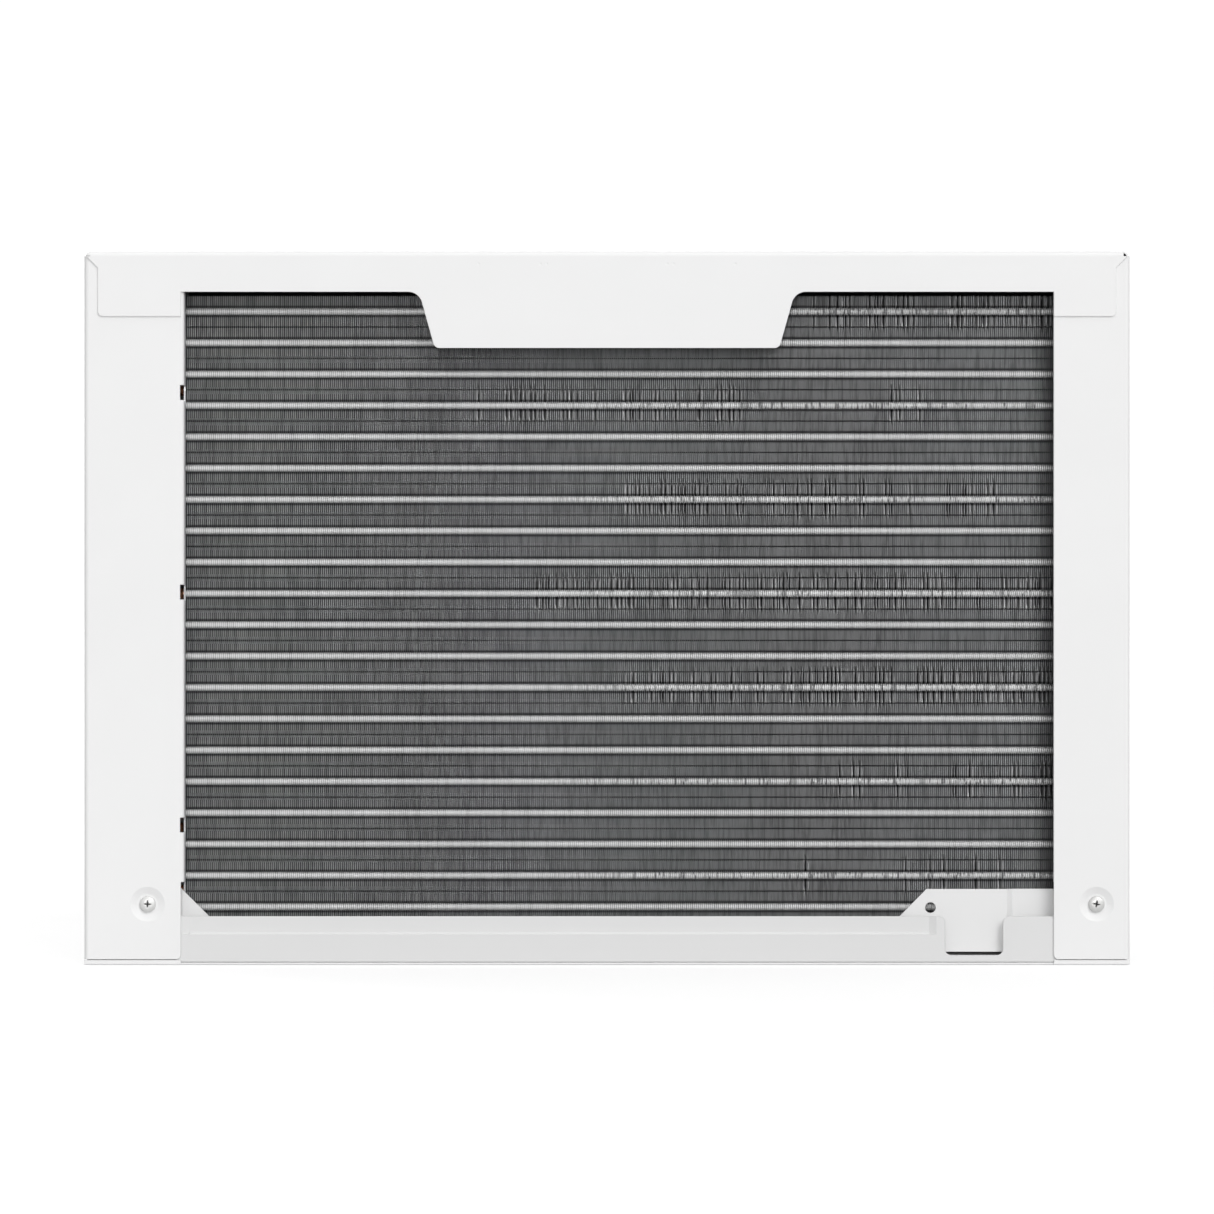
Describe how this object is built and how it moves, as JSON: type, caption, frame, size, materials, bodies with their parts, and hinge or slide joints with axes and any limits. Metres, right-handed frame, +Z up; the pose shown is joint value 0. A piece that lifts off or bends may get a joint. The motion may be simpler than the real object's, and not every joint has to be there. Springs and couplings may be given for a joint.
{
  "type": "window air conditioner",
  "caption": "Window air conditioner: sheet-metal cabinet, slide-out chassis with coils, compressor and fans, and a plastic front with grille, filter, louvres and controls.",
  "frame": {"origin": "centre of the underside of the bounding box", "axes": "+Z up, +Y towards the outdoor (rear) side, -Y towards the room (front) side"},
  "size_m": [0.66, 0.68, 0.45],
  "materials": {
    "cabinet_paint": "satin off-white powder coat",
    "pan_paint": "satin light grey coat",
    "galvanised": "zinc-coated sheet",
    "fin_aluminium": "thin matt aluminium",
    "tube_copper": "copper tube",
    "zinc_screw": "zinc-plated",
    "black_plastic": "fine texture",
    "blower_plastic": "plain",
    "shaft_steel": "ground",
    "motor_shell": "pressed and zinc-coated",
    "black_paint": "black enamel",
    "mount_rubber": "matt",
    "duct_plastic": "plain",
    "front_plastic": "fine texture",
    "filter_plastic": "mesh in a frame",
    "display_plastic": "smoked",
    "button_plastic": "satin",
    "board_green": "solder mask",
    "can_aluminium": "drawn can"
  },
  "bodies": {
    "cabinet": {"cabinet_top": "cabinet_paint", "cabinet_side_right": "cabinet_paint", "cabinet_side_left": "cabinet_paint", "cabinet_base": "cabinet_paint", "rear_screws": "zinc_screw"},
    "chassis": {"base_pan": "pan_paint", "pull_handle": "zinc_screw", "corner_plates": "pan_paint", "condenser_fins": "fin_aluminium", "condenser_tubes": "tube_copper", "condenser_end_plates": "galvanised", "fan_shroud": "black_plastic", "fan_motor": "motor_shell", "motor_stand": "galvanised", "bulkhead": "galvanised", "air_scroll": "duct_plastic", "inlet_orifice": "duct_plastic", "evaporator_fins": "fin_aluminium", "evaporator_tubes": "tube_copper", "evaporator_end_plates": "galvanised", "evaporator_tray": "duct_plastic", "compressor": "black_paint", "accumulator": "black_paint", "compressor_mounts": "mount_rubber", "suction_pipe": "tube_copper", "discharge_pipe": "tube_copper", "liquid_pipe": "tube_copper", "filter_drier": "tube_copper", "control_box": "galvanised", "run_capacitor": "can_aluminium", "circuit_board": "board_green", "cord_gland": "black_plastic", "front_panel": "front_plastic", "front_frame": "front_plastic", "outlet_duct": "duct_plastic", "control_fascia": "front_plastic", "display_window": "display_plastic", "switch_board": "board_green"},
    "fan_rotor": {"propeller_fan": "black_plastic", "fan_shaft": "shaft_steel", "blower_wheel": "blower_plastic"},
    "inlet_grille": {"inlet_grille": "front_plastic"},
    "air_filter": {"air_filter": "filter_plastic"},
    "vent_lever": {"vent_lever": "button_plastic"},
    "vent_door": {"vent_door": "galvanised"},
    "louver_link": {"louver_link": "blower_plastic"},
    "vane_link": {"vane_link": "blower_plastic"},
    "louver_1": {"louver_1": "front_plastic"},
    "louver_2": {"louver_2": "front_plastic"},
    "louver_3": {"louver_3": "front_plastic"},
    "vane_1": {"vane_1": "blower_plastic"},
    "vane_2": {"vane_2": "blower_plastic"},
    "vane_3": {"vane_3": "blower_plastic"},
    "vane_4": {"vane_4": "blower_plastic"},
    "vane_5": {"vane_5": "blower_plastic"},
    "button_power": {"button_power": "button_plastic"},
    "button_temp_up": {"button_temp_up": "button_plastic"},
    "button_temp_down": {"button_temp_down": "button_plastic"},
    "button_mode": {"button_mode": "button_plastic"},
    "button_fan_speed": {"button_fan_speed": "button_plastic"}
  },
  "joints": [
    {"name": "chassis_slide", "type": "slide", "parent": "cabinet", "child": "chassis", "axis": [0, -1, 0], "range_m": [0, 0.42]},
    {"name": "fan_spin", "type": "hinge", "parent": "chassis", "child": "fan_rotor", "pos_m": [-0.07, 0, 0.212], "axis": [0, 1, 0], "continuous": true},
    {"name": "grille_hinge", "type": "hinge", "parent": "chassis", "child": "inlet_grille", "pos_m": [0, -0.333, 0.036], "axis": [1, 0, 0], "range_deg": [0, 75]},
    {"name": "filter_slide", "type": "slide", "parent": "chassis", "child": "air_filter", "axis": [-1, 0, 0], "range_m": [0, 0.42]},
    {"name": "louver_1_tilt", "type": "hinge", "parent": "chassis", "child": "louver_1", "pos_m": [0, -0.325, 0.352], "axis": [1, 0, 0], "range_deg": [-35, 35]},
    {"name": "louver_2_tilt", "type": "hinge", "parent": "chassis", "child": "louver_2", "pos_m": [0, -0.325, 0.381], "axis": [1, 0, 0], "range_deg": [-35, 35]},
    {"name": "louver_3_tilt", "type": "hinge", "parent": "chassis", "child": "louver_3", "pos_m": [0, -0.325, 0.41], "axis": [1, 0, 0], "range_deg": [-35, 35]},
    {"name": "louver_link_swing", "type": "hinge", "parent": "louver_1", "child": "louver_link", "pos_m": [0, -0.316, 0.352], "axis": [1, 0, 0], "range_deg": [-35, 35]},
    {"name": "vane_1_turn", "type": "hinge", "parent": "chassis", "child": "vane_1", "pos_m": [-0.2455, -0.292, 0.38], "axis": [0, 0, 1], "range_deg": [-35, 35]},
    {"name": "vane_2_turn", "type": "hinge", "parent": "chassis", "child": "vane_2", "pos_m": [-0.1615, -0.292, 0.38], "axis": [0, 0, 1], "range_deg": [-35, 35]},
    {"name": "vane_3_turn", "type": "hinge", "parent": "chassis", "child": "vane_3", "pos_m": [-0.0775, -0.292, 0.38], "axis": [0, 0, 1], "range_deg": [-35, 35]},
    {"name": "vane_4_turn", "type": "hinge", "parent": "chassis", "child": "vane_4", "pos_m": [0.0065, -0.292, 0.38], "axis": [0, 0, 1], "range_deg": [-35, 35]},
    {"name": "vane_5_turn", "type": "hinge", "parent": "chassis", "child": "vane_5", "pos_m": [0.0905, -0.292, 0.38], "axis": [0, 0, 1], "range_deg": [-35, 35]},
    {"name": "vane_link_swing", "type": "hinge", "parent": "vane_1", "child": "vane_link", "pos_m": [-0.2455, -0.274, 0.34], "axis": [0, 0, 1], "range_deg": [-35, 35]},
    {"name": "vent_lever_slide", "type": "slide", "parent": "chassis", "child": "vent_lever", "axis": [1, 0, 0], "range_m": [0, 0.025]},
    {"name": "vent_door_hinge", "type": "hinge", "parent": "chassis", "child": "vent_door", "pos_m": [0.142, -0.089, 0.374], "axis": [0, 0, -1], "range_deg": [0, 60]},
    {"name": "button_power_press", "type": "slide", "parent": "chassis", "child": "button_power", "axis": [0, 1, 0], "range_m": [0, 0.001], "stiffness_N_per_m": 400},
    {"name": "button_temp_up_press", "type": "slide", "parent": "chassis", "child": "button_temp_up", "axis": [0, 1, 0], "range_m": [0, 0.001], "stiffness_N_per_m": 400},
    {"name": "button_temp_down_press", "type": "slide", "parent": "chassis", "child": "button_temp_down", "axis": [0, 1, 0], "range_m": [0, 0.001], "stiffness_N_per_m": 400},
    {"name": "button_mode_press", "type": "slide", "parent": "chassis", "child": "button_mode", "axis": [0, 1, 0], "range_m": [0, 0.001], "stiffness_N_per_m": 400},
    {"name": "button_fan_speed_press", "type": "slide", "parent": "chassis", "child": "button_fan_speed", "axis": [0, 1, 0], "range_m": [0, 0.001], "stiffness_N_per_m": 400}
  ],
  "couplings": [
    {"joint": "louver_2_tilt", "follows": "louver_1_tilt", "ratio": 1},
    {"joint": "louver_3_tilt", "follows": "louver_1_tilt", "ratio": 1},
    {"joint": "louver_link_swing", "follows": "louver_1_tilt", "ratio": -1},
    {"joint": "vane_2_turn", "follows": "vane_1_turn", "ratio": 1},
    {"joint": "vane_3_turn", "follows": "vane_1_turn", "ratio": 1},
    {"joint": "vane_4_turn", "follows": "vane_1_turn", "ratio": 1},
    {"joint": "vane_5_turn", "follows": "vane_1_turn", "ratio": 1},
    {"joint": "vane_link_swing", "follows": "vane_1_turn", "ratio": -1},
    {"joint": "vent_door_hinge", "follows": "vent_lever_slide", "rad_per_m": 41.8}
  ]
}
